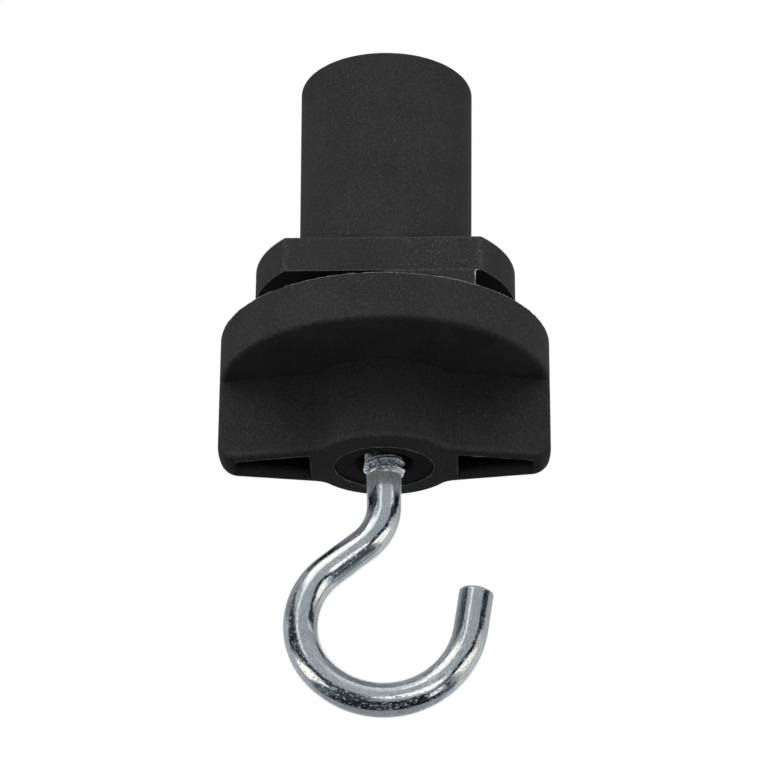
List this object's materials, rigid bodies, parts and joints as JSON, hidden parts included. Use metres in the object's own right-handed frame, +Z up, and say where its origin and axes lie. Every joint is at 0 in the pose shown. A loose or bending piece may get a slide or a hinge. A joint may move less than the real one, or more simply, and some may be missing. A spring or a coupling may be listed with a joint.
{
  "type": "lighting track hook",
  "caption": "Quarter-turn track adapter with a plug, locking cam, cover disc and winged grip, carrying an open wire screw hook.",
  "frame": {"origin": "on the vertical axis, in the top face of the cover disc, which bears on the underside of the track", "axes": "+Z up into the track, wings and cam ends along X, cam flats facing -Y and +Y"},
  "size_m": [0.033, 0.033, 0.0683],
  "materials": {
    "adapter_plastic": "fine spark-eroded grain, matte black",
    "bush_plastic": "matte black",
    "zinc_wire": "bright zinc plating on drawn wire"
  },
  "bodies": {
    "root": {"adapter_body": "adapter_plastic", "hook_bush": "bush_plastic", "screw_hook": "zinc_wire"}
  },
  "joints": []
}
